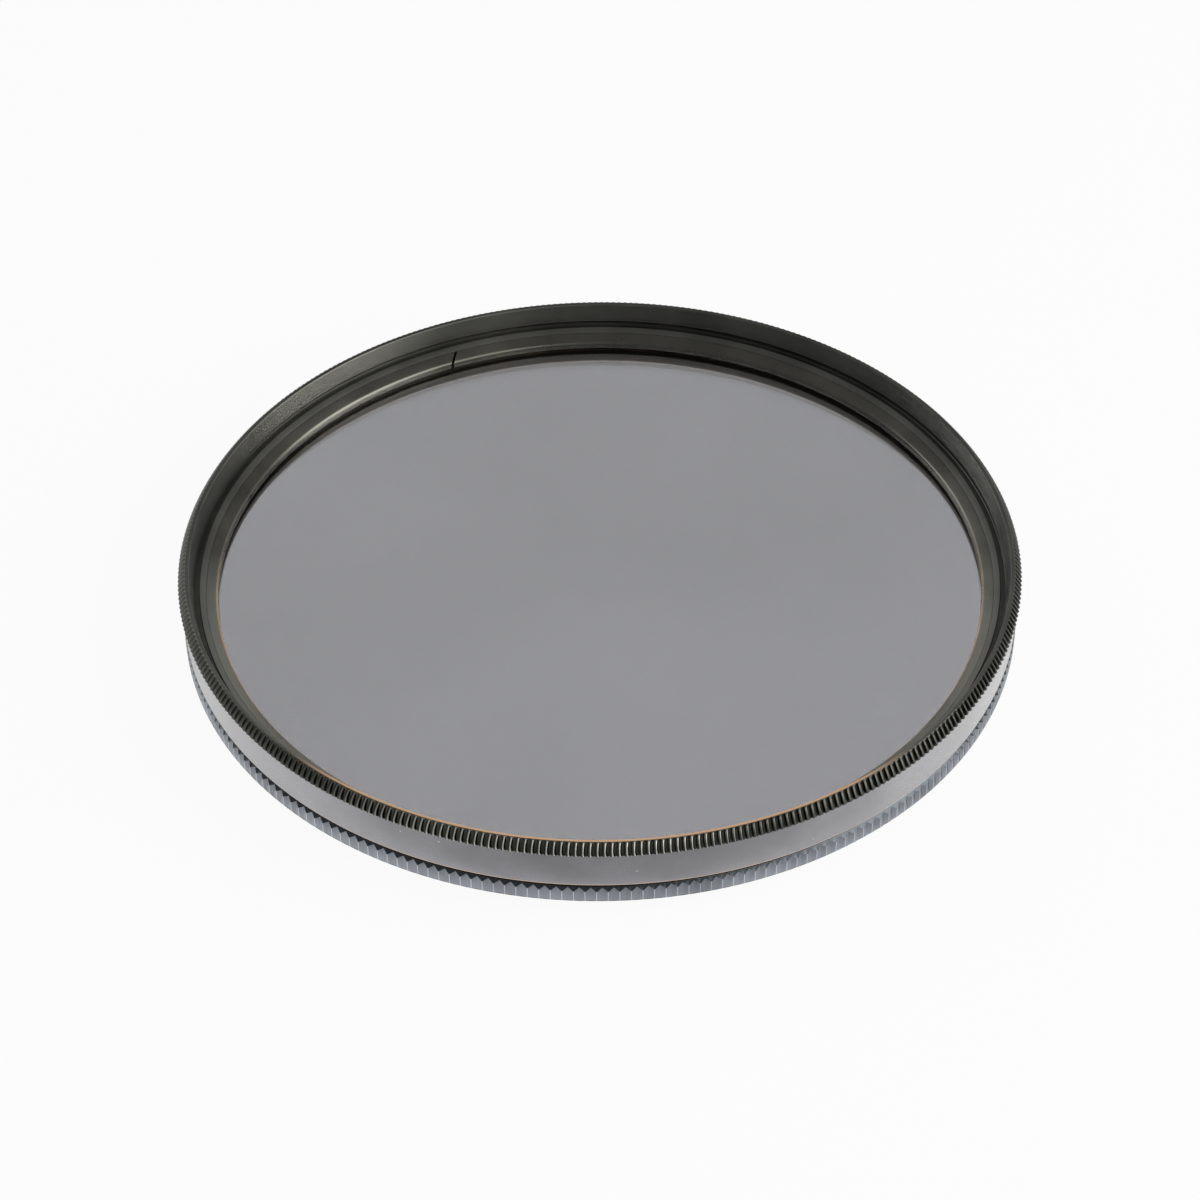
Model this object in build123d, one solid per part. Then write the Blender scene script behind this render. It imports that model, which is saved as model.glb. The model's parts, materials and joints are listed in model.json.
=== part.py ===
from build123d import *
import os
from math import cos, radians, sin

# Screw-in polarising filter for a 77 mm lens thread, in millimetres.
# The front ring carries the glass and turns on the rear ring, which screws to the lens.
# The optical axis is +Z. The origin is the middle of the male thread's lower end.

# Lens thread, metric fine, male below and female above
thread_diameter = 77.0
thread_pitch = 0.75
thread_length = 1.5
thread_lead_in = 0.4
thread_root_wall = 0.84
male_depth_per_pitch = 0.6134
female_depth_per_pitch = 0.5413

# Rear mount ring
flange_overhang = 1.35
flange_height = 1.55
flange_bevel = 0.4
shelf_thickness = 0.5
mount_knurl_teeth = 88
mount_knurl_depth = 0.27

# Front rotating ring
rim_wall = 1.5
band_height = 4.0
sleeve_wall = 0.55
lip_thickness = 0.45
lip_overlap = 0.8
pocket_headroom = 0.05

# Knurled bevel at the top of the front ring
rim_knurl_teeth = 124
rim_knurl_depth = 0.25
rim_knurl_ledge = 0.03
rim_bevel_width = 0.8
rim_bevel_height = 0.9
rim_land = 0.3

# Glass laminate
glass_insertion_gap = 0.7
glass_thickness = 0.8
film_thickness = 0.27
cement_gap = 0.01

# Split retaining ring over the glass
retainer_height = 0.98
retainer_overlap = 1.0
retainer_nose = 0.2
retainer_gap = 0.35
retainer_gap_azimuth = 114.0
retainer_gap_slant = 38.0

# Flat-wire snap ring between the two rings
wire_width = 0.5
wire_height = 0.4
wire_lift = 0.33
wire_gap = 4.0
wire_gap_azimuth = 270.0

# Fits and clearances
running_clearance = 0.08
axial_clearance = 0.08
ring_gap = 0.35
glass_clearance = 0.1
wire_clearance = 0.05

# Thread radii from the metric profile
thread_major_radius = thread_diameter / 2
thread_root_radius = thread_major_radius - male_depth_per_pitch * thread_pitch
thread_minor_radius = thread_major_radius - female_depth_per_pitch * thread_pitch

# Radii, from the thread outwards and inwards
mount_bore_radius = thread_root_radius - thread_root_wall
flange_radius = thread_major_radius + flange_overhang
rim_radius = thread_major_radius + rim_wall
rim_root_radius = rim_radius - rim_knurl_depth
band_radius = rim_root_radius - rim_knurl_ledge
ridge_radius = rim_radius - rim_bevel_width
mouth_radius = ridge_radius - rim_land
glass_radius = thread_minor_radius - glass_insertion_gap
pocket_radius = glass_radius + glass_clearance
lip_radius = glass_radius - lip_overlap
sleeve_radius = pocket_radius + sleeve_wall
counterbore_radius = sleeve_radius + running_clearance
wire_inner_radius = sleeve_radius + running_clearance / 2 - wire_width / 2
wire_outer_radius = wire_inner_radius + wire_width

# Heights, from the lower end of the thread upwards
flange_bottom = thread_length
flange_top = flange_bottom + flange_height
shelf_top = flange_bottom + shelf_thickness
sleeve_bottom = shelf_top + axial_clearance
lip_top = sleeve_bottom + lip_thickness
band_bottom = flange_top + ring_gap
band_top = band_bottom + band_height
rim_top = band_top + rim_bevel_height
wire_bottom = sleeve_bottom + wire_lift
wire_top = wire_bottom + wire_height
film_bottom = lip_top + glass_thickness + cement_gap
front_glass_bottom = film_bottom + film_thickness + cement_gap
glass_top = front_glass_bottom + glass_thickness
retainer_top = glass_top + retainer_height
pocket_top = retainer_top + pocket_headroom

# How far a cutter reaches past the face that it opens
overrun = 1.0


def turned(*corners):
    """A solid of revolution about the optical axis, from (radius, height) corners."""
    return revolve(Plane.XZ * make_face(Polyline(*corners, close=True)), Axis.Z)


def toothed_face(teeth, crest_radius, root_radius, height):
    """A flat face whose edge runs in a zigzag between tooth crests and roots."""
    half_pitch = radians(180 / teeth)
    corners = []
    for index in range(2 * teeth):
        radius = root_radius if index % 2 else crest_radius
        angle = index * half_pitch
        corners.append((radius * cos(angle), radius * sin(angle), height))
    return Face(Wire.make_polygon(corners, close=True))


def toothed_taper(teeth, crest_radius, root_radius, top_crest_radius, bottom, top):
    """A toothed ring blank whose crests and roots run up in proportion to a smaller top."""
    taper = top_crest_radius / crest_radius
    lower = toothed_face(teeth, crest_radius, root_radius, bottom)
    upper = toothed_face(teeth, top_crest_radius, root_radius * taper, top)
    return loft([lower, upper], ruled=True)


def open_ring_cut(ring, azimuth, radius, height, gap, slant=0.0):
    """The ring with a gap sawn through it at one azimuth, slanting from the radial line."""
    box = ring.bounding_box()
    saw = Box(radius / 2, gap, 2 * box.size.Z + overrun)
    place = Rot(0, 0, azimuth) * Pos(radius, 0, height) * Rot(0, 0, -slant)
    return ring - place * saw


def rear_mount_ring():
    """Threaded ring with a coarse knurled flange, counterbored for the front ring's sleeve."""
    thread = turned(
        (0, 0),
        (thread_major_radius - thread_lead_in, 0),
        (thread_major_radius, thread_lead_in),
        (thread_major_radius, flange_bottom),
        (0, flange_bottom),
    )
    root_radius = flange_radius - mount_knurl_depth
    bevel_bottom = flange_top - flange_bevel
    grip_face = toothed_face(mount_knurl_teeth, flange_radius, root_radius, flange_bottom)
    grip = extrude(grip_face, bevel_bottom - flange_bottom)
    bevel = toothed_taper(
        mount_knurl_teeth, flange_radius, root_radius, flange_radius - flange_bevel, bevel_bottom, flange_top
    )
    groove_radius = wire_outer_radius + wire_clearance
    rib_bottom = wire_top + wire_clearance
    bore = turned(
        (0, -overrun),
        (mount_bore_radius, -overrun),
        (mount_bore_radius, shelf_top),
        (groove_radius, shelf_top),
        (groove_radius, rib_bottom),
        (counterbore_radius, rib_bottom),
        (counterbore_radius, flange_top + overrun),
        (0, flange_top + overrun),
    )
    return thread + grip + bevel - bore


def front_rotating_ring():
    """Glass cell with a smooth band, a knurled bevel and the female thread's bore."""
    groove_radius = wire_inner_radius - wire_clearance
    body = turned(
        (0, sleeve_bottom),
        (sleeve_radius, sleeve_bottom),
        (sleeve_radius, wire_bottom - wire_clearance),
        (groove_radius, wire_bottom - wire_clearance),
        (groove_radius, wire_top + wire_clearance),
        (sleeve_radius, wire_top + wire_clearance),
        (sleeve_radius, band_bottom),
        (band_radius, band_bottom),
        (band_radius, band_top),
        (0, band_top),
    )
    rim = toothed_taper(rim_knurl_teeth, rim_radius, rim_root_radius, ridge_radius, band_top, rim_top)
    mouth_bottom = rim_top - (mouth_radius - thread_minor_radius)
    cell = turned(
        (0, sleeve_bottom - overrun),
        (lip_radius, sleeve_bottom - overrun),
        (lip_radius, lip_top),
        (pocket_radius, lip_top),
        (pocket_radius, pocket_top),
        (thread_minor_radius, pocket_top),
        (thread_minor_radius, mouth_bottom),
        (mouth_radius + overrun, rim_top + overrun),
        (0, rim_top + overrun),
    )
    return body + rim - cell


def layer(bottom, thickness):
    """One round layer of the cemented laminate."""
    return Pos(0, 0, bottom) * extrude(Circle(glass_radius), thickness)


def glass_retaining_ring():
    """Split ring with a sloping face, sprung into the cell on top of the glass."""
    inner = glass_radius - retainer_overlap
    ring = turned(
        (inner, glass_top),
        (glass_radius, glass_top),
        (glass_radius, retainer_top),
        (inner, glass_top + retainer_nose),
    )
    middle = (inner + glass_radius) / 2
    return open_ring_cut(ring, retainer_gap_azimuth, middle, glass_top, retainer_gap, retainer_gap_slant)


def swivel_snap_ring():
    """Open flat-wire ring that lies half in each ring's groove and holds them together."""
    ring = turned(
        (wire_inner_radius, wire_bottom),
        (wire_outer_radius, wire_bottom),
        (wire_outer_radius, wire_top),
        (wire_inner_radius, wire_top),
    )
    return open_ring_cut(ring, wire_gap_azimuth, wire_inner_radius, wire_bottom, wire_gap)


pieces = {
    "rear_mount_ring": rear_mount_ring(),
    "swivel_snap_ring": swivel_snap_ring(),
    "front_rotating_ring": front_rotating_ring(),
    "rear_glass": layer(lip_top, glass_thickness),
    "polarising_film": layer(film_bottom, film_thickness),
    "front_glass": layer(front_glass_bottom, glass_thickness),
    "glass_retaining_ring": glass_retaining_ring(),
}

os.makedirs("parts", exist_ok=True)
for name, shape in pieces.items():
    export_step(shape, f"parts/{name}.step")
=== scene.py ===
"""Looks for a screw-in polarising filter: two knurled rings, a split ring and tinted glass."""

import json
import logging
import math
from dataclasses import dataclass, field
from enum import Enum

import bmesh
import bpy
from mathutils import Matrix, Vector

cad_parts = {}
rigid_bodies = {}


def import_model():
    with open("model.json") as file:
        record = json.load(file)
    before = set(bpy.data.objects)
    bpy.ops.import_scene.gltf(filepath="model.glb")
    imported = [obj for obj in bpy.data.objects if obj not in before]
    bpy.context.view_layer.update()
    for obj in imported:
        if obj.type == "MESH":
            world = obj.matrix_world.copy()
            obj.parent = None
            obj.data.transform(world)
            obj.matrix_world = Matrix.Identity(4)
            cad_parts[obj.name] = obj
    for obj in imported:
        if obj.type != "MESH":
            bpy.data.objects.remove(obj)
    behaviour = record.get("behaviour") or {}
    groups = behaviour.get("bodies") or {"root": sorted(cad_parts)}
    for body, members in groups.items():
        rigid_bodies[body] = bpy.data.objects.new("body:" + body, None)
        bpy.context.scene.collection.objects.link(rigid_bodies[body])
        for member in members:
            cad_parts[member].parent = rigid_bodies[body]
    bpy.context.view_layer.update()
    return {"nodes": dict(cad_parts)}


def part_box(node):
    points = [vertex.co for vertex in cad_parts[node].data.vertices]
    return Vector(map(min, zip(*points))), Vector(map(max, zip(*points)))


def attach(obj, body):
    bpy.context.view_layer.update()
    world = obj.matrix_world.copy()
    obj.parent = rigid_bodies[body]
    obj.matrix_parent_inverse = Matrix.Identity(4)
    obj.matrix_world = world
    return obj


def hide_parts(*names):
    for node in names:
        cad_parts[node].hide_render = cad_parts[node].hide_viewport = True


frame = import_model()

MM = 0.001
WELD = 0.0005 * MM
LOG = logging.getLogger("filter")

Colour = tuple[float, float, float]
Span = tuple[float, float]
Face = tuple[int, ...]
Socket = bpy.types.NodeSocket

NOISE_MIDDLE: Span = (0.35, 0.65)
NOISE_SPREAD: Span = (0.3, 0.7)


class Body(Enum):
    """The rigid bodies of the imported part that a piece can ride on."""

    REAR = "rear_mount"
    FRONT = "front_ring"


class Slot(Enum):
    """The record's material slot names; each layer holds one, but nothing reads it."""

    REAR_RING = "black_anodised"
    FRONT_RING = "black_anodised_ring"
    RETAINER = "black_retainer"
    GLASS = "optical_glass"
    FILM = "polariser"


class Side(Enum):
    """Which way a thread is cut from its crest: into a shaft or out into a bore."""

    MALE = -1.0
    FEMALE = 1.0


class Nodes:
    """A thin wrapper that adds and links the nodes of one tree."""

    def __init__(self, tree: bpy.types.NodeTree) -> None:
        """Takes the tree that the nodes go into."""
        self.tree = tree

    def add(self, kind: str, inputs: dict | None = None, **settings: object) -> bpy.types.Node:
        """Adds a node.

        Args:
            kind: the node's type name.
            inputs: socket name or number to a value or to an output socket.
            settings: properties of the node.

        Returns:
            The new node.
        """
        node = self.tree.nodes.new(kind)
        for key, value in settings.items():
            setattr(node, key, value)
        for key, value in (inputs or {}).items():
            socket = node.inputs[key]
            if isinstance(value, Socket):
                self.tree.links.new(value, socket)
            else:
                socket.default_value = value
        return node

    def math(self, operation: str, a: object, b: object = 0.0, clamp: bool = False) -> Socket:
        """The result of a Math node on two values or sockets, held between 0 and 1 if it is clamped."""
        return self.add("ShaderNodeMath", {0: a, 1: b}, operation=operation, use_clamp=clamp).outputs[0]


class ShaderTree(Nodes):
    """The nodes of one material, on the piece's Object coordinates."""

    def __init__(self, name: str) -> None:
        """Makes an empty material.

        Args:
            name: the material's name.
        """
        self.material = bpy.data.materials.new(name)
        self.material.use_nodes = True
        super().__init__(self.material.node_tree)
        self.tree.nodes.clear()
        self.place = self.add("ShaderNodeTexCoord").outputs["Object"]

    def about_axis(self) -> tuple[Socket, Socket, Socket, Socket]:
        """Splits the coordinates.

        Returns:
            The x, y and z, and the distance from the optical axis.
        """
        split = self.add("ShaderNodeSeparateXYZ", {0: self.place})
        x, y, z = (split.outputs[i] for i in range(3))
        squares = self.math("ADD", self.math("MULTIPLY", x, x), self.math("MULTIPLY", y, y))
        return x, y, z, self.math("SQRT", squares)

    def facing(self, x: Socket, y: Socket, radius: Socket, azimuth_deg: float) -> Socket:
        """How far a point lies towards an azimuth.

        Args:
            x: the point's x.
            y: the point's y.
            radius: the point's distance from the optical axis.
            azimuth_deg: the azimuth.

        Returns:
            The cosine of the angle between the two, as a socket.
        """
        turn = math.radians(azimuth_deg)
        across = self.math("MULTIPLY", x, math.cos(turn))
        side = self.math("ADD", across, self.math("MULTIPLY", y, math.sin(turn)))
        return self.math("DIVIDE", side, self.math("MAXIMUM", radius, MM))

    def span(self, value: object, start: Span, end: Span = (0.0, 1.0)) -> Socket:
        """Maps a value or socket from one range to another, held at the ends."""
        inputs = {0: value, 1: start[0], 2: start[1], 3: end[0], 4: end[1]}
        return self.add("ShaderNodeMapRange", inputs).outputs[0]

    def noise(self, place: Socket, scale: float, detail: float, roughness: float = 0.5) -> Socket:
        """The value of a noise texture, whose scale is how many waves there are in a metre."""
        inputs = {"Vector": place, "Scale": scale, "Detail": detail, "Roughness": roughness}
        return self.add("ShaderNodeTexNoise", inputs).outputs[0]

    def attribute(self, name: str) -> Socket:
        """The value of a mesh attribute, which is 0 where the mesh has none."""
        return self.add("ShaderNodeAttribute", attribute_name=name).outputs["Fac"]

    def blend(self, share: object, a: object, b: object) -> Socket:
        """Mixes two colours or sockets, where share is how much of the second one there is."""
        return self.add("ShaderNodeMix", {0: share, 6: a, 7: b}, data_type="RGBA").outputs[2]

    def mottle(self, cloud: Socket, tone: Colour, factors: Span) -> Socket:
        """A colour that drifts with a noise, from its tone times one factor to its tone times another."""
        dark, light = (rgba(*(c * factor for c in tone)) for factor in factors)
        return self.blend(self.span(cloud, NOISE_MIDDLE), dark, light)

    def output(self, shader: bpy.types.Node) -> bpy.types.Material:
        """Links a shader's node to the surface and gives the finished material."""
        self.add("ShaderNodeOutputMaterial", {"Surface": shader.outputs[0]})
        return self.material


def rgba(red: float, green: float, blue: float) -> tuple[float, float, float, float]:
    """A colour with full opacity."""
    return (red, green, blue, 1.0)


@dataclass(frozen=True)
class TurnedBlack:
    """Black anodising over turned metal, with fine tool lines, worn edges and a few specks.

    A piece's attribute of wear and painted highlight lays the edge's tone on: real wear on some edges, and
    painted highlights, painted reflections and painted light on others. Its dark attribute is painted
    shade, blended towards the shade tone. Where the finish has a highlight side, the edge's tone fades away
    from that azimuth as a painted highlight.
    """

    name: str
    tone: Colour
    edge_tone: Colour
    roughness: float
    chipping: float = 0.45
    chip_range: Span = (0.30, 0.60)
    line_depth: float = 0.10
    line_pitch_mm: float = 0.09
    line_height_mm: float = 0.02
    specks: float = 0.0
    speck_scale: float = 420.0
    speck_size: Span = (0.03, 0.06)
    speck_tone: Colour = (0.75, 0.74, 0.72)
    bloom: float = 0.0
    bloom_roughness: float = 0.4
    seal: float = 0.0
    seal_roughness: float = 0.15
    highlight_side_deg: float | None = None
    highlight_fade: Span = (0.88, 0.97)
    highlight_left: float = 0.10
    shade: float = 0.75
    shade_tone: Colour = (0.02, 0.02, 0.018)
    cloud_scale: float = 160.0
    cloud_tones: Span = (0.86, 1.12)
    cloud_roughness: Span = (-0.04, 0.05)
    grain_scale: float = 9000.0
    grain_roughness: Span = (-0.012, 0.012)

    def colour(self, t: ShaderTree, cloud: Socket, worn: Socket) -> Socket:
        """Lays the edge's tone (wear and painted highlights), the painted shade and the specks over the
        black.

        Args:
            t: the material's nodes.
            cloud: the noise that breaks the finish up.
            worn: how much of the edge's tone is laid on, as wear and as painted highlight.

        Returns:
            The colour's socket.
        """
        chips = t.span(cloud, self.chip_range, (1.0 - self.chipping, 1.0))
        # The edge's tone is real wear on some edges; on others it is painted highlight, painted reflection
        # and painted light. The chips break it up.
        bared_and_lit = t.math("MULTIPLY", worn, chips, True)
        colour = t.blend(bared_and_lit, t.mottle(cloud, self.tone, self.cloud_tones), rgba(*self.edge_tone))
        # Painted shade: the dark attribute darkens thread roots, the trench and the cone's foot towards the
        # shade tone.
        shaded = t.math("MULTIPLY", t.attribute("dark"), self.shade, True)
        colour = t.blend(shaded, colour, rgba(*self.shade_tone))
        if self.specks:
            cells = t.add("ShaderNodeTexVoronoi", {"Vector": t.place, "Scale": self.speck_scale})
            spot = t.span(cells.outputs["Distance"], self.speck_size, (1.0, 0.0))
            colour = t.blend(t.math("MULTIPLY", spot, self.specks), colour, rgba(*self.speck_tone))
        return colour

    def material(self) -> bpy.types.Material:
        """Builds the node material.

        Returns:
            The finish as a Blender material.
        """
        t = ShaderTree(self.name)
        x, y, z, radius = t.about_axis()
        cloud = t.noise(t.place, self.cloud_scale, detail=3.0)
        grain = t.noise(t.place, self.grain_scale, detail=1.0)
        along = t.add("ShaderNodeCombineXYZ", {0: radius, 1: z}).outputs[0]
        lines = t.noise(along, 1.0 / (self.line_pitch_mm * MM), detail=2.0, roughness=0.6)
        height = {"Strength": self.line_depth, "Distance": self.line_height_mm * MM, "Height": lines}
        worn = t.attribute("worn")
        # On a finish with a highlight side, the edge's tone is a painted highlight that fades away from
        # that azimuth.
        if self.highlight_side_deg is not None:
            highlight_facing = t.facing(x, y, radius, self.highlight_side_deg)
            worn = t.math("MULTIPLY", worn, t.span(highlight_facing, self.highlight_fade, (self.highlight_left, 1.0)))
        fine = t.span(grain, NOISE_SPREAD, self.grain_roughness)
        rough = t.math("ADD", fine, t.span(cloud, NOISE_SPREAD, self.cloud_roughness))
        inputs = {
            "Base Color": self.colour(t, cloud, worn),
            "Metallic": 1.0,
            "Roughness": t.math("ADD", rough, self.roughness, True),
            "Normal": t.add("ShaderNodeBump", height).outputs[0],
            "Sheen Weight": self.bloom,
            "Sheen Roughness": self.bloom_roughness,
            "Coat Weight": self.seal,
            "Coat Roughness": self.seal_roughness,
        }
        return t.output(t.add("ShaderNodeBsdfPrincipled", inputs))


@dataclass(frozen=True)
class ClearLayer:
    """Polished glass or foil that light passes through, with a faint drift in its tint."""

    name: str
    tint: Colour
    drift: Span
    drift_scale: float
    gloss: float
    index: float = 1.5

    def material(self) -> bpy.types.Material:
        """Builds the node material.

        Returns:
            The finish as a Blender material.
        """
        t = ShaderTree(self.name)
        cloud = t.noise(t.place, self.drift_scale, detail=1.0)
        inputs = {
            "Base Color": t.mottle(cloud, self.tint, self.drift),
            "Roughness": 0.0,
            "IOR": self.index,
            "Transmission Weight": 1.0,
            "Specular IOR Level": self.gloss,
        }
        return t.output(t.add("ShaderNodeBsdfPrincipled", inputs))


@dataclass(frozen=True)
class SpringWire:
    """Drawn spring steel, with uneven gloss."""

    name: str = "spring_wire"
    tone: Colour = (0.42, 0.42, 0.44)
    cloud_scale: float = 900.0
    cloud_tones: Span = (0.8, 1.0)
    roughness: Span = (0.28, 0.40)

    def material(self) -> bpy.types.Material:
        """Builds the node material.

        Returns:
            The finish as a Blender material.
        """
        t = ShaderTree(self.name)
        cloud = t.noise(t.place, self.cloud_scale, detail=3.0)
        inputs = {
            "Base Color": t.mottle(cloud, self.tone, self.cloud_tones),
            "Metallic": 1.0,
            "Roughness": t.span(cloud, NOISE_SPREAD, self.roughness),
        }
        return t.output(t.add("ShaderNodeBsdfPrincipled", inputs))


class GeometryTree(Nodes):
    """A Geometry Nodes tree with named inputs, and the modifier that runs it."""

    def __init__(self, name: str, inputs: dict[str, str]) -> None:
        """Makes a tree with a geometry input, named inputs, a material input and a geometry output.

        Args:
            name: the tree's name.
            inputs: input name to socket type, besides the geometry and the material.
        """
        super().__init__(bpy.data.node_groups.new(name, "GeometryNodeTree"))
        face = self.tree.interface
        face.new_socket("Geometry", in_out="INPUT", socket_type="NodeSocketGeometry")
        self.ids: dict[str, str] = {}
        for key, kind in {**inputs, "Material": "NodeSocketMaterial"}.items():
            self.ids[key] = face.new_socket(key, in_out="INPUT", socket_type=kind).identifier
        face.new_socket("Geometry", in_out="OUTPUT", socket_type="NodeSocketGeometry")
        self.entry = self.tree.nodes.new("NodeGroupInput")
        self.exit = self.tree.nodes.new("NodeGroupOutput")

    def given(self, name: str) -> Socket:
        """The socket of a named input."""
        return self.entry.outputs[name]

    def close(self, geometry: Socket) -> None:
        """Ends the tree in Realize Instances and Set Material.

        Args:
            geometry: the geometry's socket.
        """
        real = self.add("GeometryNodeRealizeInstances", {0: geometry})
        inputs = {"Geometry": real.outputs[0], "Material": self.given("Material")}
        done = self.add("GeometryNodeSetMaterial", inputs)
        self.tree.links.new(done.outputs[0], self.exit.inputs[0])

    def run(self, mesh: bpy.types.Mesh, values: dict[str, object]) -> bpy.types.Mesh:
        """Runs the tree on a mesh.

        Args:
            mesh: the mesh that goes in, which is removed.
            values: input name to its value.

        Returns:
            The plain mesh that comes out.
        """
        holder = bpy.data.objects.new("working", mesh)
        bpy.context.scene.collection.objects.link(holder)
        modifier = holder.modifiers.new("tree", "NODES")
        modifier.node_group = self.tree
        for key, value in values.items():
            modifier[self.ids[key]] = value
        graph = bpy.context.evaluated_depsgraph_get()
        made = bpy.data.meshes.new_from_object(holder.evaluated_get(graph), depsgraph=graph)
        bpy.data.objects.remove(holder)
        bpy.data.meshes.remove(mesh)
        return made


def ring_of_teeth() -> GeometryTree:
    """A tree that repeats one tooth about the optical axis and welds the copies.

    Returns:
        The tree.
    """
    g = GeometryTree("ring_of_teeth", {"Teeth": "NodeSocketInt", "Weld": "NodeSocketFloat"})
    points = g.add("GeometryNodePoints", {"Count": g.given("Teeth")})
    step = g.math("DIVIDE", math.tau, g.given("Teeth"))
    turn = g.math("MULTIPLY", g.add("GeometryNodeInputIndex").outputs[0], step)
    euler = g.add("ShaderNodeCombineXYZ", {2: turn})
    spin = g.add("FunctionNodeEulerToRotation", {0: euler.outputs[0]})
    copies = g.add(
        "GeometryNodeInstanceOnPoints",
        {"Points": points.outputs[0], "Instance": g.given("Geometry"), "Rotation": spin.outputs[0]},
    )
    real = g.add("GeometryNodeRealizeInstances", {0: copies.outputs[0]})
    weld = g.add("GeometryNodeMergeByDistance", {"Geometry": real.outputs[0], "Distance": g.given("Weld")})
    g.close(weld.outputs[0])
    return g


def cut_thread() -> GeometryTree:
    """A tree that cuts a helical vee thread into a turned wall, with painted shade in its root and, on its
    crest, wear that is also a painted highlight.

    Returns:
        The tree.
    """
    sizes = ("Pitch", "Depth", "Way", "Crest Wear And Highlight")
    g = GeometryTree("cut_thread", {name: "NodeSocketFloat" for name in sizes})
    spot = g.add("ShaderNodeSeparateXYZ", {0: g.add("GeometryNodeInputPosition").outputs[0]})
    x, y, z = (spot.outputs[i] for i in range(3))
    turn = g.math("DIVIDE", g.math("ARCTAN2", y, x), math.tau)
    phase = g.math("FRACT", g.math("SUBTRACT", g.math("DIVIDE", z, g.given("Pitch")), turn))
    ramp = g.math("ABSOLUTE", g.math("SUBTRACT", g.math("MULTIPLY", phase, 2.0), 1.0))
    steepness, crest_flat = 1.5, 0.19
    vee = g.math("SUBTRACT", g.math("MULTIPLY", ramp, steepness), crest_flat, True)
    weight, dark, worn = (
        g.add("GeometryNodeInputNamedAttribute", {"Name": name}, data_type="FLOAT").outputs[0]
        for name in ("thread", "dark", "worn")
    )
    root = g.math("MULTIPLY", vee, weight)
    crest = g.math("MULTIPLY", g.math("SUBTRACT", weight, root), g.given("Crest Wear And Highlight"))
    cut = g.math("MULTIPLY", g.math("MULTIPLY", root, g.given("Depth")), g.given("Way"))
    # The root's darkness is painted shade; the crest's lighter tone is wear and painted highlight.
    marks = {"dark": g.math("MAXIMUM", dark, root), "worn": g.math("MAXIMUM", worn, crest)}
    geometry = g.given("Geometry")
    for name, value in marks.items():
        inputs = {"Geometry": geometry, "Name": name, "Value": value}
        store = g.add("GeometryNodeStoreNamedAttribute", inputs, data_type="FLOAT", domain="POINT")
        geometry = store.outputs[0]
    flat = g.add("ShaderNodeCombineXYZ", {0: x, 1: y})
    out = g.add("ShaderNodeVectorMath", {0: flat.outputs[0]}, operation="NORMALIZE")
    shift = g.add("ShaderNodeVectorMath", {0: out.outputs[0], "Scale": cut}, operation="SCALE")
    moved = g.add("GeometryNodeSetPosition", {"Geometry": geometry, "Offset": shift.outputs[0]})
    g.close(moved.outputs[0])
    return g


def node_size(node: str) -> tuple[float, float, float]:
    """The outer radius, lowest height and highest height of a CAD node, in millimetres."""
    low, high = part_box(node)
    return high.x / MM, low.z / MM, high.z / MM


def wheel(radius: float, height: float, angle: float) -> Vector:
    """A point at a radius, height (in millimetres) and angle about the optical axis."""
    return Vector((radius * math.cos(angle), radius * math.sin(angle), height)) * MM


@dataclass
class Row:
    """One ring of points on a turned wall.

    Its fields are the radius and height in millimetres, how far the thread is cut there, how much of the
    edge's tone is laid on all round (real wear on some rows, painted highlight and painted light on
    others), how much painted highlight is added towards the side nearest the camera, where that painted
    highlight starts and is full, as shares of the way from the ring's middle to its near side, and how much
    painted shade darkens the wall besides the thread.
    """

    radius: float
    height: float
    thread: float = 0.0
    worn: float = 0.0
    near_highlight: float = 0.0
    start: float = 0.70
    full: float = 0.84
    dark: float = 0.0

    def wear_and_highlight_share(self, angle: float) -> float:
        """How much edge tone the row takes at an angle about the optical axis: its wear and painted light
        all round, plus the painted highlight towards the near side.
        """
        share = min(1.0, max(0.0, (-math.sin(angle) - self.start) / (self.full - self.start)))
        # The near side's extra edge tone is a painted highlight, eased in along the ring.
        return self.worn + self.near_highlight * share * share * (3 - 2 * share)


def marked_mesh(name: str, points: list[Vector], faces: list[Face], **marks: list[float]) -> bpy.types.Mesh:
    """Makes a mesh with attributes on its points.

    Args:
        name: the mesh's name.
        points: the points, in metres.
        faces: the faces, as numbers of points.
        marks: attribute name to a value for each point.

    Returns:
        The mesh.
    """
    mesh = bpy.data.meshes.new(name)
    mesh.from_pydata(points, [], faces)
    for key, values in marks.items():
        mesh.attributes.new(key, "FLOAT", "POINT").data.foreach_set("value", values)
    return mesh


def turned_mesh(name: str, rows: list[Row], segments: int) -> bpy.types.Mesh:
    """Turns a section into an open shell about the optical axis.

    Args:
        name: the mesh's name.
        rows: the section from one end to the other.
        segments: how many steps there are round the axis.

    Returns:
        The mesh, with its thread attribute, its dark attribute of painted shade and its attribute of wear
        and painted highlight.
    """
    angles = [math.tau * i / segments for i in range(segments)]
    faces: list[Face] = []
    for j in range(len(rows) - 1):
        a, b = j * segments, (j + 1) * segments
        for i in range(segments):
            k = (i + 1) % segments
            faces.append((a + i, a + k, b + k, b + i))
    return marked_mesh(
        name,
        [wheel(row.radius, row.height, angle) for row in rows for angle in angles],
        faces,
        thread=[row.thread for row in rows for _ in angles],
        dark=[row.dark for row in rows for _ in angles],
        worn=[row.wear_and_highlight_share(angle) for row in rows for angle in angles],
    )


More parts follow.
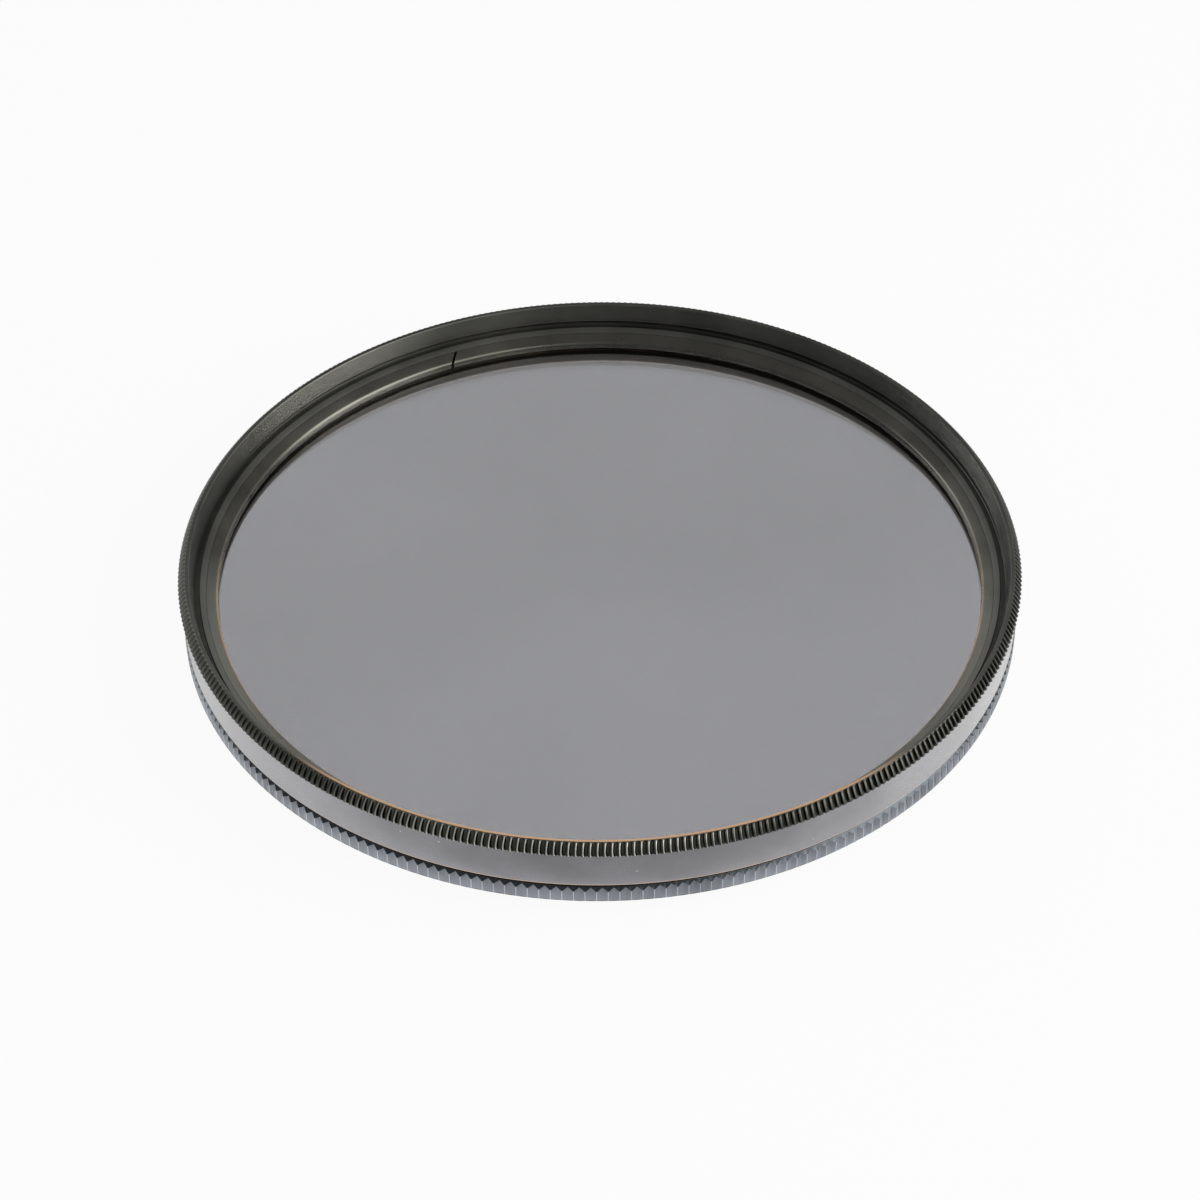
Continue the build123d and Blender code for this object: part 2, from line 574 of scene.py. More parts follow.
def tooth_mesh(
    name: str, teeth: int, rows: list[list[Row]], places: tuple[float, ...], lean: list[float] | None = None
) -> bpy.types.Mesh:
    """One tooth of a knurl, as a strip from its lower line to its upper line.

    Args:
        name: the mesh's name.
        teeth: how many teeth go round.
        rows: from bottom to top, each with points across the tooth, or two where it meets a plain ring.
        places: where the points of a full row lie across the tooth, from 0 to 1.
        lean: how far each row is shifted round the axis, in tooth pitches.

    Returns:
        The mesh, with its attribute of wear and painted highlight.
    """
    pitch = math.tau / teeth
    points: list[Vector] = []
    worn: list[float] = []
    numbers: list[list[int]] = []
    for row, shift in zip(rows, lean or [0.0] * len(rows)):
        spread = (0.0, 1.0) if len(row) == 2 else places
        numbers.append(list(range(len(points), len(points) + len(row))))
        points += [wheel(p.radius, p.height, pitch * (s + shift)) for p, s in zip(row, spread)]
        worn += [p.worn for p in row]
    faces: list[Face] = []
    for low, high in zip(numbers, numbers[1:]):
        if len(low) == len(high):
            faces += [(low[i], low[i + 1], high[i + 1], high[i]) for i in range(len(low) - 1)]
        elif len(low) == 2:
            half = len(high) // 2
            faces += [(low[0], high[i + 1], high[i]) for i in range(half)]
            faces += [(low[1], high[i + 1], high[i]) for i in range(half, len(high) - 1)]
            faces.append((low[0], low[1], high[half]))
        else:
            half = len(low) // 2
            faces += [(low[i], low[i + 1], high[0]) for i in range(half)]
            faces += [(low[i], low[i + 1], high[1]) for i in range(half, len(low) - 1)]
            faces.append((high[1], high[0], low[half]))
    return marked_mesh(name, points, faces, worn=worn)


def welded(name: str, meshes: list[bpy.types.Mesh], sharp_deg: float) -> bpy.types.Object:
    """Joins shells into one closed mesh object.

    Args:
        name: the object's name.
        meshes: the shells, which are removed; each brings its material.
        sharp_deg: edges that turn by more than this are shaded sharp.

    Returns:
        The object, linked to the scene.
    """
    bm = bmesh.new()
    slots: list[bpy.types.Material] = []
    for mesh in meshes:
        before = len(bm.faces)
        bm.from_mesh(mesh)
        bm.faces.ensure_lookup_table()
        material = next((m for m in mesh.materials if m), None)
        if material not in slots:
            slots.append(material)
        for face in bm.faces[before:]:
            face.material_index = slots.index(material)
            face.smooth = True
        bpy.data.meshes.remove(mesh)
    bmesh.ops.remove_doubles(bm, verts=bm.verts, dist=WELD)
    bmesh.ops.recalc_face_normals(bm, faces=bm.faces)
    joined = bpy.data.meshes.new(name)
    bm.to_mesh(joined)
    open_edges = sum(1 for edge in bm.edges if len(edge.link_faces) != 2)
    bm.free()
    for material in slots:
        joined.materials.append(material)
    joined.set_sharp_from_angle(angle=math.radians(sharp_deg))
    piece = bpy.data.objects.new(name, joined)
    bpy.context.scene.collection.objects.link(piece)
    LOG.info("%s: %d faces, %d open edges", name, len(joined.polygons), open_edges)
    return piece


@dataclass
class Knurl:
    """A row of teeth: their number, the radius of their crests in millimetres, and their shape.

    The shape is where points lie across a tooth, from 0 to 1, and how far each rises from root to crest.
    """

    teeth: int
    crest: float
    places: tuple[float, ...]
    rise: tuple[float, ...]


@dataclass
class RearMountRing:
    """Threaded ring with the coarse knurled flange. Sizes are in millimetres."""

    finish: TurnedBlack
    bore_finish: TurnedBlack
    bore: float = 37.2
    bore_break: float = 0.04
    shelf: float = 2.0
    groove: float = 38.384
    rib_bottom: float = 2.86
    counterbore: float = 38.124
    counterbore_break: float = 0.05
    flange_bottom: float = 1.5
    flange_top: float = field(init=False)
    bevel: float = 0.4
    peak_drop: float = 0.06
    foot_edge: float = 0.10
    foot_painted_reflection: float = 0.35
    foot_flute: float = 0.12
    flute_wear: float = 0.20
    cusp_wear: float = 0.85
    wear_end: Span = (0.004, 0.003)
    flare_height: float = 1.2
    flare_width: float = 0.82
    thread_crest: float = 38.5
    thread_depth: float = 0.46
    thread_pitch: float = 0.75
    thread_lead: float = 0.4
    thread_relief: float = 0.1
    thread_crest_wear_and_highlight: float = 0.45
    thread_rows: int = 22
    seat_line: float = 39.2
    sharp_deg: float = 24.0
    knurl_depth: float = 0.28
    knurl: Knurl = field(init=False)

    def __post_init__(self) -> None:
        """Takes the flange's top and radius from the frame and sets its teeth."""
        crest, _, self.flange_top = node_size("rear_mount_ring")
        places = (0.0, 0.06, 0.5, 0.94, 1.0)
        self.knurl = Knurl(250, crest, places, tuple(abs(2 * s - 1) for s in places))

    def teeth(self, material: bpy.types.Material) -> bpy.types.Mesh:
        """Builds the ring of flange teeth, with flutes that end in a bevel of 45 degrees.

        Args:
            material: the ring's finish.

        Returns:
            The mesh of all teeth, from the flange's underside to its top line.
        """
        k = self.knurl
        inset = [self.knurl_depth * (1 - rise) for rise in k.rise]
        wear_and_highlight_share = [self.cusp_wear if rise == 1.0 else self.flute_wear for rise in k.rise]
        drop = [self.peak_drop + self.knurl_depth - d for d in inset]
        edge = self.flange_bottom + self.foot_edge
        # The foot's lower edge takes the pale edge tone as a painted reflection of the floor.
        plain = [
            Row(self.seat_line, self.flange_bottom),
            Row(k.crest - self.foot_edge, self.flange_bottom, worn=self.foot_painted_reflection),
            Row(k.crest, edge, worn=self.foot_painted_reflection),
        ]
        foot = [
            Row(k.crest - self.foot_flute * d, edge + self.foot_edge / 2, worn=max(w, self.foot_painted_reflection))
            for d, w in zip(inset, wear_and_highlight_share)
        ]
        head = [Row(k.crest - d, self.flange_top - h, worn=w) for d, h, w in zip(inset, drop, wear_and_highlight_share)]
        inward, upward = self.wear_end
        clean = [Row(row.radius - inward, row.height + upward) for row in head]
        top = [Row(k.crest - self.bevel, self.flange_top)] * 2
        rows = [*([row, row] for row in plain), foot, head, clean, top]
        tooth = tooth_mesh("flange_tooth", k.teeth, rows, k.places)
        return ring_of_teeth().run(tooth, {"Teeth": k.teeth, "Weld": WELD, "Material": material})

    def body(self, material: bpy.types.Material) -> bpy.types.Mesh:
        """Builds the flange's top, counterbore and shelf.

        Args:
            material: the ring's finish.

        Returns:
            The turned mesh.
        """
        rows = [
            Row(self.knurl.crest - self.bevel, self.flange_top),
            Row(self.counterbore + self.counterbore_break, self.flange_top),
            Row(self.counterbore, self.flange_top - self.counterbore_break),
            Row(self.counterbore, self.rib_bottom),
            Row(self.groove, self.rib_bottom),
            Row(self.groove, self.shelf),
            Row(self.bore + self.bore_break, self.shelf),
        ]
        mesh = turned_mesh("rear_body", rows, self.knurl.teeth)
        mesh.materials.append(material)
        return mesh

    def bore_wall(self) -> bpy.types.Mesh:
        """Builds the bore: black, then a painted highlight line where the flare starts, a dull dip and the
        flare, painted pale as a reflection of the floor.

        Returns:
            The turned mesh.
        """
        edge = self.flare_height
        rows = [
            Row(self.bore + self.bore_break, self.shelf),
            Row(self.bore, self.shelf - self.bore_break),
            # From here down the edge tone is painted light: a highlight line at the flare's edge, then the
            # floor's reflection on the flare.
            Row(self.bore, edge + 0.25, worn=0.08),
            Row(self.bore, edge + 0.03, worn=0.25),
            Row(self.bore, edge, worn=1.0),
            Row(self.bore + 0.02, edge - 0.20, worn=1.0),
            Row(self.bore + 0.04, edge - 0.23, worn=0.60),
            Row(self.bore + 0.11, edge - 0.32, worn=0.60),
            Row(self.bore + 0.15, edge - 0.37, worn=0.82),
            Row(self.bore + self.flare_width - 0.1, 0.12, worn=0.82),
            Row(self.bore + self.flare_width, 0.0, worn=0.66),
        ]
        mesh = turned_mesh("bore_wall", rows, self.knurl.teeth)
        mesh.materials.append(self.bore_finish.material())
        return mesh

    def thread(self, material: bpy.types.Material) -> bpy.types.Mesh:
        """Builds the male thread up to the flange's seat.

        Args:
            material: the ring's finish.

        Returns:
            The turned mesh with its thread cut.
        """
        rows = [Row(self.bore + self.flare_width, 0.0)]
        top = self.flange_bottom - self.thread_relief
        for i in range(self.thread_rows + 1):
            height = top * i / self.thread_rows
            lead = min(self.thread_crest, self.thread_crest - self.thread_lead + height)
            room = (lead - self.thread_crest + self.thread_depth) / self.thread_depth
            rows.append(Row(lead, height, thread=room if 0 < i < self.thread_rows else 0.0))
        rows.append(Row(self.thread_crest - self.thread_relief, self.flange_bottom))
        rows.append(Row(self.seat_line, self.flange_bottom))
        mesh = turned_mesh("rear_thread", rows, self.knurl.teeth)
        # The thread's crests take the edge tone as wear and as a painted highlight.
        values = {
            "Pitch": self.thread_pitch * MM,
            "Depth": self.thread_depth * MM,
            "Way": Side.MALE.value,
            "Crest Wear And Highlight": self.thread_crest_wear_and_highlight,
            "Material": material,
        }
        return cut_thread().run(mesh, values)

    def build(self) -> bpy.types.Object:
        """Builds the ring and sets it on its body.

        Returns:
            The finished piece.
        """
        material = self.finish.material()
        shells = [self.teeth(material), self.body(material), self.bore_wall(), self.thread(material)]
        piece = welded("rear_ring", shells, self.sharp_deg)
        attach(piece, Body.REAR.value)
        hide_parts("rear_mount_ring")
        return piece


@dataclass(frozen=True)
class BeadLine:
    """One line round the knurled bead, which is rounded and whose teeth bend sideways as they go up.

    It holds how far the teeth's crests and roots lie in from the rim's radius and down from its top, in
    millimetres, and how far the teeth are shifted round the axis there, in tooth pitches.
    """

    crest_in: float
    crest_down: float
    root_in: float
    root_down: float
    lean: float


@dataclass
class FrontRing:
    """Glass cell with the smooth band, the fine knurled bead and the female thread, in millimetres."""

    knurl_finish: TurnedBlack
    band_finish: TurnedBlack
    wall_finish: TurnedBlack
    band: float = 39.75
    band_bottom: float = 3.4
    band_break: float = 0.10
    bead_bottom: float = 7.1
    bead: tuple[BeadLine, ...] = (
        BeadLine(0.06, 1.13, 0.26, 1.17, -0.02),
        BeadLine(0.00, 1.03, 0.32, 1.10, -0.07),
        BeadLine(0.05, 0.88, 0.38, 0.98, -0.11),
        BeadLine(0.20, 0.60, 0.48, 0.78, -0.12),
        BeadLine(0.40, 0.31, 0.60, 0.52, -0.09),
        BeadLine(0.64, 0.04, 0.72, 0.24, -0.03),
    )
    worn_above: float = 0.8
    rim_top: float = field(init=False)
    ridge: float = 39.24
    land: float = 38.92
    land_drop: float = 0.075
    cone_foot: float = 38.60
    cone_bottom: float = 6.48
    sleeve: float = 38.044
    sleeve_bottom: float = field(init=False)
    sleeve_break: float = 0.05
    wire_groove: float = 37.794
    groove_low: float = 2.36
    groove_high: float = 2.86
    lip: float = 36.594
    lip_top: float = field(init=False)
    lip_painted_light: float = 0.8
    pocket: float = 37.494
    ledge_low: float = 5.62
    ledge: float = 38.03
    ledge_high: float = 5.95
    thread_crest: float = 38.56
    thread_depth: float = 0.12
    thread_pitch: float = 0.75
    thread_bottom: float = 5.84
    thread_top: float = 6.42
    thread_rows: int = 12
    thread_share: float = 0.7
    thread_end: float = 0.2
    sharp_deg: float = 32.0
    knurl: Knurl = field(init=False)

    def __post_init__(self) -> None:
        """Takes the outside sizes and the glass seat from the frame and sets the bead's teeth."""
        crest, self.sleeve_bottom, self.rim_top = node_size("front_rotating_ring")
        _, self.lip_top, _ = node_size("rear_glass")
        places = (0.0, 0.10, 0.20, 0.40, 0.49, 0.57, 0.65, 0.72, 0.76, 1.0)
        rise = (0.0, 0.0, 1.0, 1.0, 0.96, 0.85, 0.60, 0.20, 0.0, 0.0)
        self.knurl = Knurl(400, crest, places, rise)

    def teeth(self) -> bpy.types.Mesh:
        """Builds the ring of bead teeth, each with a painted highlight on the flank just past its crest.

        Returns:
            The mesh of all teeth, from the band's top line to the ridge.
        """
        k = self.knurl
        rows = [[Row(self.band, self.bead_bottom)] * 2]
        for line in self.bead:
            row: list[Row] = []
            for rise in k.rise:
                inset = line.root_in + rise * (line.crest_in - line.root_in)
                drop = line.root_down + rise * (line.crest_down - line.root_down)
                # The flank just past each crest takes the pale edge tone as a painted highlight.
                worn = 1.0 if self.worn_above < rise < 1.0 else 0.0
                row.append(Row(k.crest - inset, self.rim_top - drop, worn=worn))
            rows.append(row)
        rows.append([Row(self.ridge, self.rim_top)] * 2)
        lean = [0.0, *(line.lean for line in self.bead), 0.0]
        tooth = tooth_mesh("bead_tooth", k.teeth, rows, k.places, lean)
        values = {"Teeth": k.teeth, "Weld": WELD, "Material": self.knurl_finish.material()}
        return ring_of_teeth().run(tooth, values)

    def band_wall(self) -> bpy.types.Mesh:
        """Builds the smooth side band down to its lower edge, which is worn.

        Returns:
            The turned mesh.
        """
        rows = [
            Row(self.band, self.bead_bottom),
            Row(self.band, self.band_bottom + 0.18),
            Row(self.band, self.band_bottom + 0.15, worn=0.5),
            Row(self.band - 0.02, self.band_bottom + 0.07, worn=0.5),
            Row(self.band - self.band_break, self.band_bottom, worn=0.5),
        ]
        mesh = turned_mesh("band_wall", rows, self.knurl.teeth)
        mesh.materials.append(self.band_finish.material())
        return mesh

    def sleeve_rows(self) -> list[Row]:
        """The underside and the sleeve, with its wire groove.

        Returns:
            Rows from the band's lower edge to the sleeve's lower end.
        """
        return [
            Row(self.band - self.band_break, self.band_bottom, worn=0.2),
            Row(self.sleeve, self.band_bottom),
            Row(self.sleeve, self.groove_high),
            Row(self.wire_groove, self.groove_high),
            Row(self.wire_groove, self.groove_low),
            Row(self.sleeve, self.groove_low),
            Row(self.sleeve, self.sleeve_bottom + self.sleeve_break),
            Row(self.sleeve - self.sleeve_break, self.sleeve_bottom),
        ]

    def pocket_rows(self) -> list[Row]:
        """The lip under the glass, the glass pocket and the sloping ledge.

        Returns:
            Rows from the lip's underside to the trench behind the ledge.
        """
        return [
            Row(self.lip + self.sleeve_break, self.sleeve_bottom),
            Row(self.lip, self.sleeve_bottom + self.sleeve_break),
            Row(self.lip, self.lip_top - self.sleeve_break),
            # The lip's top is lightened with the edge tone: painted light.
            Row(self.lip + self.sleeve_break, self.lip_top, worn=self.lip_painted_light),
            Row(self.pocket, self.lip_top, worn=self.lip_painted_light),
            Row(self.pocket, self.ledge_low),
            Row(self.ledge - 0.03, self.ledge_high - 0.02),
            Row(self.ledge + 0.03, self.ledge_high),
            Row(self.ledge + 0.07, self.ledge_high - 0.06),
            # Painted shade at the trench behind the ledge.
            Row(self.ledge + 0.09, self.thread_bottom, dark=0.2),
        ]

    def mouth_rows(self) -> list[Row]:
        """The short thread in painted shade, the cone above it, darker at its foot with painted shade, and
        the land, with a painted highlight at the near side.

        Returns:
            Rows from the trench to the ridge.
        """
        rows: list[Row] = []
        for i in range(self.thread_rows + 1):
            height = self.thread_bottom + (self.thread_top - self.thread_bottom) * i / self.thread_rows
            deep = self.thread_share if 0 < i < self.thread_rows else self.thread_end
            # The thread rows carry painted shade as deep as the thread is cut.
            rows.append(Row(self.thread_crest, height, thread=deep, dark=deep))
        land_height = self.rim_top - self.land_drop
        return rows + [
            # Painted shade, growing towards the cone's foot.
            Row(self.cone_foot, self.cone_bottom, dark=0.5),
            Row(self.cone_foot + 0.06, self.cone_bottom + 0.35, dark=0.22),
            Row(self.cone_foot + 0.16, self.cone_bottom + 0.90, dark=0.06),
            Row(self.land - 0.04, land_height - 0.16),
            # The land's edge tone at the near side is a painted highlight.
            Row(self.land - 0.02, land_height - 0.05, near_highlight=0.5),
            Row(self.land + 0.02, land_height, near_highlight=1.0),
            Row(self.ridge - 0.04, self.rim_top - 0.005, near_highlight=1.0),
            Row(self.ridge, self.rim_top),
        ]

    def cell(self) -> bpy.types.Mesh:
        """Builds the underside, sleeve, glass cell, thread and mouth.

        Returns:
            The turned mesh with its thread cut.
        """
        rows = self.sleeve_rows() + self.pocket_rows() + self.mouth_rows()
        mesh = turned_mesh("cell", rows, self.knurl.teeth)
        values = {
            "Pitch": self.thread_pitch * MM,
            "Depth": self.thread_depth * MM,
            "Way": Side.FEMALE.value,
            "Crest Wear And Highlight": 0.0,
            "Material": self.wall_finish.material(),
        }
        return cut_thread().run(mesh, values)

    def build(self) -> bpy.types.Object:
        """Builds the ring and sets it on its body.

        Returns:
            The finished piece.
        """
        piece = welded("front_ring_shell", [self.teeth(), self.band_wall(), self.cell()], self.sharp_deg)
        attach(piece, Body.FRONT.value)
        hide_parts("front_rotating_ring")
        return piece


@dataclass
class RetainingRing:
    """Split ring sprung in over the glass, with a slanted gap. Sizes are in millimetres."""

    finish: TurnedBlack
    inner: float = 36.394
    outer: float = 37.474
    bottom: float = field(init=False)
    top: float = 5.60
    nose_radius: float = 0.5
    nose_middle: float = 4.72
    gap: float = 0.24
    azimuth_deg: float = 114.0
    slant_deg: float = 38.0
    segments: int = 420
    sharp_deg: float = 40.0

    def __post_init__(self) -> None:
        """Takes the height of the glass's top from the frame."""
        _, self.bottom, _ = node_size("glass_retaining_ring")

    def section(self) -> list[Row]:
        """The ring's section, all the way round.

        Returns:
            Points from the bottom's inner end, round the outside, to the rolled inner edge.
        """
        i, o, b, t, r = self.inner, self.outer, self.bottom, self.top, self.nose_radius
        # The rolled edge's near side takes the edge tone as a painted highlight, strongest where it turns
        # by about 54 degrees.
        near_highlight_by_turn = {30: 0.0, 42: 0.5, 54: 1.0, 66: 0.9, 78: 0.3, 90: 0.0}
        nose: list[Row] = []
        for turn, near_highlight in near_highlight_by_turn.items():
            bend = math.radians(turn)
            place = (i + r - r * math.sin(bend), self.nose_middle + r * math.cos(bend))
            nose.append(Row(*place, near_highlight=near_highlight, start=-0.15, full=0.3))
        return [
            Row(i + 0.10, b),
            Row(o - 0.04, b),
            Row(o, b + 0.04),
            Row(o, t - 0.02),
            Row(o - 0.01, t),
            *nose,
            Row(i, b + 0.03),
        ]

    def shell(self) -> bpy.types.Mesh:
        """Sweeps the section from one side of the gap round to the other.

        Returns:
            The closed mesh, with its attribute of painted highlight on the rolled edge.
        """
        section = self.section()
        middle = (self.inner + self.outer) / 2
        slant = math.radians(self.slant_deg)
        points: list[Vector] = []
        worn: list[float] = []
        for step in range(self.segments + 1):
            for row in section:
                skew = -math.tan(slant) * (row.radius - middle) / row.radius
                half = self.gap / math.cos(slant) / 2 / row.radius
                swept = step / self.segments * (math.tau - 2 * half)
                angle = math.radians(self.azimuth_deg) + skew + half + swept
                points.append(wheel(row.radius, row.height, angle))
                worn.append(row.wear_and_highlight_share(angle))
        count = len(section)
        faces: list[Face] = []
        for step in range(self.segments):
            a, b = step * count, (step + 1) * count
            faces += [(a + i, a + (i + 1) % count, b + (i + 1) % count, b + i) for i in range(count)]
        faces.append(tuple(range(count)))
        faces.append(tuple(reversed(range(self.segments * count, (self.segments + 1) * count))))
        return marked_mesh("split_ring", points, faces, worn=worn)

    def build(self) -> bpy.types.Object:
        """Builds the ring and sets it on its body.

        Returns:
            The finished piece.
        """
        mesh = self.shell()
        mesh.materials.append(self.finish.material())
        piece = welded("split_ring", [mesh], self.sharp_deg)
        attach(piece, Body.FRONT.value)
        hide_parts("glass_retaining_ring")
        return piece


@dataclass
class Layer:
    """One round layer of the cemented laminate, with a ground edge, as large as its CAD node."""

    name: str
    node: str
    slot: Slot
    chamfer: float = 0.1
    segments: int = 240
    sharp_deg: float = 30.0

    def build(self, material: bpy.types.Material) -> bpy.types.Object:
        """Builds the layer and sets it on the turning body.

        Args:
            material: the layer's finish.

        Returns:
            The finished piece.
        """
        radius, low, high = node_size(self.node)
        cut = min(self.chamfer, (high - low) / 4)
        lower = [Row(radius - cut, low), Row(radius, low + cut)]
        upper = [Row(radius, high - cut), Row(radius - cut, high)]
        mesh = turned_mesh(self.name, lower + upper, self.segments)
        bm = bmesh.new()
        bm.from_mesh(mesh)
        bmesh.ops.holes_fill(bm, edges=[e for e in bm.edges if e.is_boundary])
        bm.to_mesh(mesh)
        bm.free()
        mesh.materials.append(material)
        piece = welded(self.name, [mesh], self.sharp_deg)
        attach(piece, Body.FRONT.value)
        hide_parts(self.node)
        return piece


@dataclass
class SoftLight:
    """A rectangular soft lamp aimed at the filter, with its place and size in metres."""

    name: str
    place: tuple[float, float, float]
    width: float
    height: float
    watts: float
    colour: Colour = (1.0, 1.0, 1.0)

    def build(self) -> None:
        """Adds the lamp."""
        data = bpy.data.lights.new(self.name, "AREA")
        data.shape = "RECTANGLE"
        data.size, data.size_y = self.width, self.height
        data.energy = self.watts
        data.color = self.colour
        lamp = bpy.data.objects.new(self.name, data)
        lamp.location = self.place
        lamp.rotation_euler = (-Vector(self.place)).to_track_quat("-Z", "Y").to_euler()
        bpy.context.scene.collection.objects.link(lamp)


@dataclass
class Studio:
    """Pale floor with a backdrop, soft light and the photograph's camera. Lengths are in metres."""

    floor_half: float = 2.0
    floor_drop: float = 0.00005
    floor_tone: float = 0.9
    floor_glow: float = 0.94
    backdrop_reach: float = 0.6
    backdrop_rise: float = 0.3
    # Where the floor's painted shadow lies and how bright the floor stays inside it.
    shadow_azimuth_deg: float = -90.0
    shadow_edge: Span = (0.0428, 0.0440)
    shadow_side: Span = (0.70, 0.98)
    shadow_level: float = 0.56
    world_grey: float = 0.22
    elevation_deg: float = 40.25
    distance: float = 0.272
    target_height: float = 0.0083
    focal_px: float = 2860.0
    frame_px: float = 1200.0
    target_px: float = 57.0
    roll_deg: float = -0.48
    sensor_mm: float = 36.0
    clip: Span = (0.01, 20.0)

    def floor_paint(self) -> bpy.types.Material:
        """Builds the floor's material: white to the camera, in reflections and through glass.

        In mirrored rays alone, a stretch in front of the object is dimmer: a painted shadow on the floor
        that only reflections show.

        Returns:
            The material, which is clear from below.
        """
        t = ShaderTree("pale_floor")
        ray = t.add("ShaderNodeLightPath").outputs
        x, y, _, reach = t.about_axis()
        front = t.facing(x, y, reach, self.shadow_azimuth_deg)
        # A painted shadow in front of the object, seen only in mirrored rays.
        painted_shadow = t.math("MULTIPLY", t.span(front, self.shadow_side), t.span(reach, self.shadow_edge))
        mirrored = t.math("SUBTRACT", ray["Is Glossy Ray"], ray["Is Transmission Ray"], True)
        dim = t.math("MULTIPLY", t.math("MULTIPLY", painted_shadow, mirrored), 1.0 - self.shadow_level)
        bright = {"Color": rgba(1.0, 1.0, 1.0), "Strength": t.math("SUBTRACT", 1.0, dim)}
        glow = t.add("ShaderNodeEmission", bright)
        tone = self.floor_tone
        paint = t.add("ShaderNodeBsdfDiffuse", {"Color": rgba(tone, tone, tone)})
        seen = t.math("MAXIMUM", ray["Is Camera Ray"], ray["Is Glossy Ray"])
        share = t.math("MULTIPLY", seen, self.floor_glow)
        share = t.math("MAXIMUM", share, ray["Is Transmission Ray"])
        lit = t.add("ShaderNodeMixShader", {0: share, 1: paint.outputs[0], 2: glow.outputs[0]})
        under = t.add("ShaderNodeNewGeometry").outputs["Backfacing"]
        clear = t.add("ShaderNodeBsdfTransparent")
        return t.output(t.add("ShaderNodeMixShader", {0: under, 1: lit.outputs[0], 2: clear.outputs[0]}))

    def floor(self) -> None:
        """Adds the floor and the backdrop behind it."""
        mesh = bpy.data.meshes.new("floor")
        h, back, rise = self.floor_half, self.backdrop_reach, self.backdrop_rise
        points = [(-h, -h, 0), (h, -h, 0), (h, back, 0), (-h, back, 0), (h, back, rise), (-h, back, rise)]
        mesh.from_pydata(points, [], [(0, 1, 2, 3), (3, 2, 4, 5)])
        mesh.transform(Matrix.Translation((0, 0, -self.floor_drop)))
        mesh.materials.append(self.floor_paint())
        floor = bpy.data.objects.new("floor", mesh)
        bpy.context.scene.collection.objects.link(floor)

    def world(self) -> None:
        """Adds the surround: white behind the object, a soft grey for the light it gives."""
        world = bpy.data.worlds.new("studio")
        world.use_nodes = True
        world.node_tree.nodes.clear()
        n = Nodes(world.node_tree)
        grey, white = (
            n.add("ShaderNodeBackground", {0: rgba(tone, tone, tone)}).outputs[0]
            for tone in (self.world_grey, 1.0)
        )
        seen = n.add("ShaderNodeLightPath").outputs["Is Camera Ray"]
        mix = n.add("ShaderNodeMixShader", {0: seen, 1: grey, 2: white})
        n.add("ShaderNodeOutputWorld", {0: mix.outputs[0]})
        bpy.context.scene.world = world

    def lights(self) -> None:
        """Adds the soft lamps."""
        SoftLight("key_right", (0.491, -0.113, 0.268), 0.46, 0.48, 2.3, (1.0, 0.99, 0.96)).build()
        SoftLight("fill_left", (-0.47, 0.29, 0.25), 0.30, 0.20, 0.4).build()
        SoftLight("front", (0.222, -0.385, 0.323), 0.14, 0.30, 0.25, (1.0, 1.0, 0.94)).build()

    def camera(self) -> None:
        """Adds the camera at the photograph's viewing angle."""
        data = bpy.data.cameras.new("camera")
        data.sensor_width = self.sensor_mm
        data.lens = self.focal_px / self.frame_px * self.sensor_mm
        data.clip_start, data.clip_end = self.clip
        camera = bpy.data.objects.new("camera", data)
        rise = math.radians(self.elevation_deg)
        target = Vector((0, 0, self.target_height))
        place = Vector((0, -math.cos(rise), math.sin(rise))) * self.distance + target
        dip = rise + math.atan2(self.target_px, self.focal_px)
        tilt = Matrix.Rotation(math.pi / 2 - dip, 4, "X")
        roll = Matrix.Rotation(math.radians(self.roll_deg), 4, "Z")
        camera.matrix_world = Matrix.Translation(place) @ tilt @ roll
        bpy.context.scene.collection.objects.link(camera)
        bpy.context.scene.camera = camera

    def build(self) -> None:
        """Adds everything that isn't the object."""
        self.floor()
        self.world()
        self.lights()
        self.camera()
        bpy.context.scene.view_settings.view_transform = "Standard"


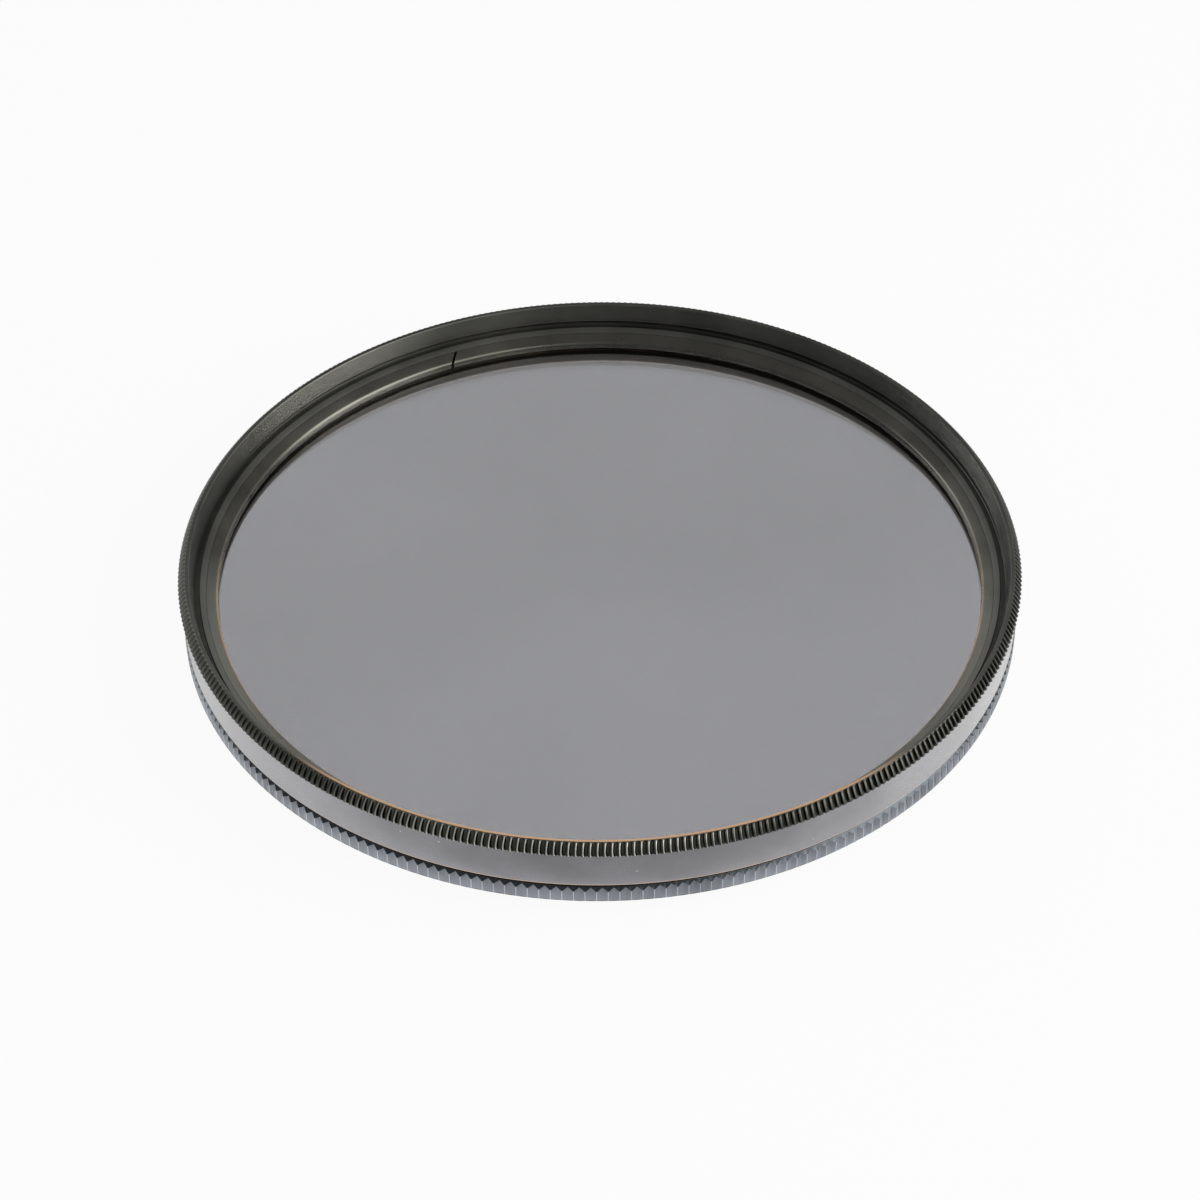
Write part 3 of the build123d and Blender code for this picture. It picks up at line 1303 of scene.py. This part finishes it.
def dress_snap_ring() -> None:
    """Gives the hidden snap ring its spring steel."""
    node = frame["nodes"]["swivel_snap_ring"]
    node.data.materials.clear()
    node.data.materials.append(SpringWire().material())
    LOG.info("swivel_snap_ring: dressed")


def build_rings() -> None:
    """Builds the two knurled rings, the snap ring between them and the split ring, in their blacks."""
    rear_black = TurnedBlack("rear_black", (0.09, 0.10, 0.112), (0.74, 0.78, 0.85), 0.26)
    bore_black = TurnedBlack("bore_black", (0.12, 0.102, 0.082), (0.98, 0.95, 0.90), 0.30, chipping=0.05)
    # The bead's crest lines are painted highlights, strongest towards the azimuth of -99 degrees and fading
    # away from it.
    bead_black = TurnedBlack(
        "bead_black", (0.082, 0.082, 0.072), (0.70, 0.71, 0.63), 0.35, chipping=0.1, highlight_side_deg=-99.0
    )
    band_black = TurnedBlack(
        "band_black",
        (0.275, 0.272, 0.292),
        (0.85, 0.52, 0.25),
        0.24,
        line_depth=0.05,
        specks=0.6,
        bloom=1.0,
        seal=1.0,
    )
    wall_black = TurnedBlack(
        "wall_black", (0.165, 0.165, 0.148), (1.0, 0.63, 0.36), 0.42, chipping=0.15, line_depth=0.05
    )
    split_black = TurnedBlack("split_black", (0.16, 0.157, 0.138), (1.0, 0.66, 0.40), 0.30)
    RearMountRing(rear_black, bore_black).build()
    dress_snap_ring()
    FrontRing(bead_black, band_black, wall_black).build()
    RetainingRing(split_black).build()


def build_laminate() -> None:
    """Builds the two glass discs and the grey foil between them."""
    glass = ClearLayer("coated_glass", (0.985, 0.99, 0.99), (0.985, 1.0), 45.0, gloss=0.4).material()
    foil = ClearLayer("grey_foil", (0.358, 0.354, 0.373), (0.98, 1.02), 22.0, gloss=0.0).material()
    Layer("rear_disc", "rear_glass", Slot.GLASS).build(glass)
    Layer("foil", "polarising_film", Slot.FILM).build(foil)
    Layer("front_disc", "front_glass", Slot.GLASS).build(glass)


def main() -> None:
    """Builds every piece in order, then the studio."""
    logging.basicConfig(level=logging.INFO, format="%(name)s: %(message)s")
    build_rings()
    build_laminate()
    Studio().build()


if __name__ == "__main__":
    main()
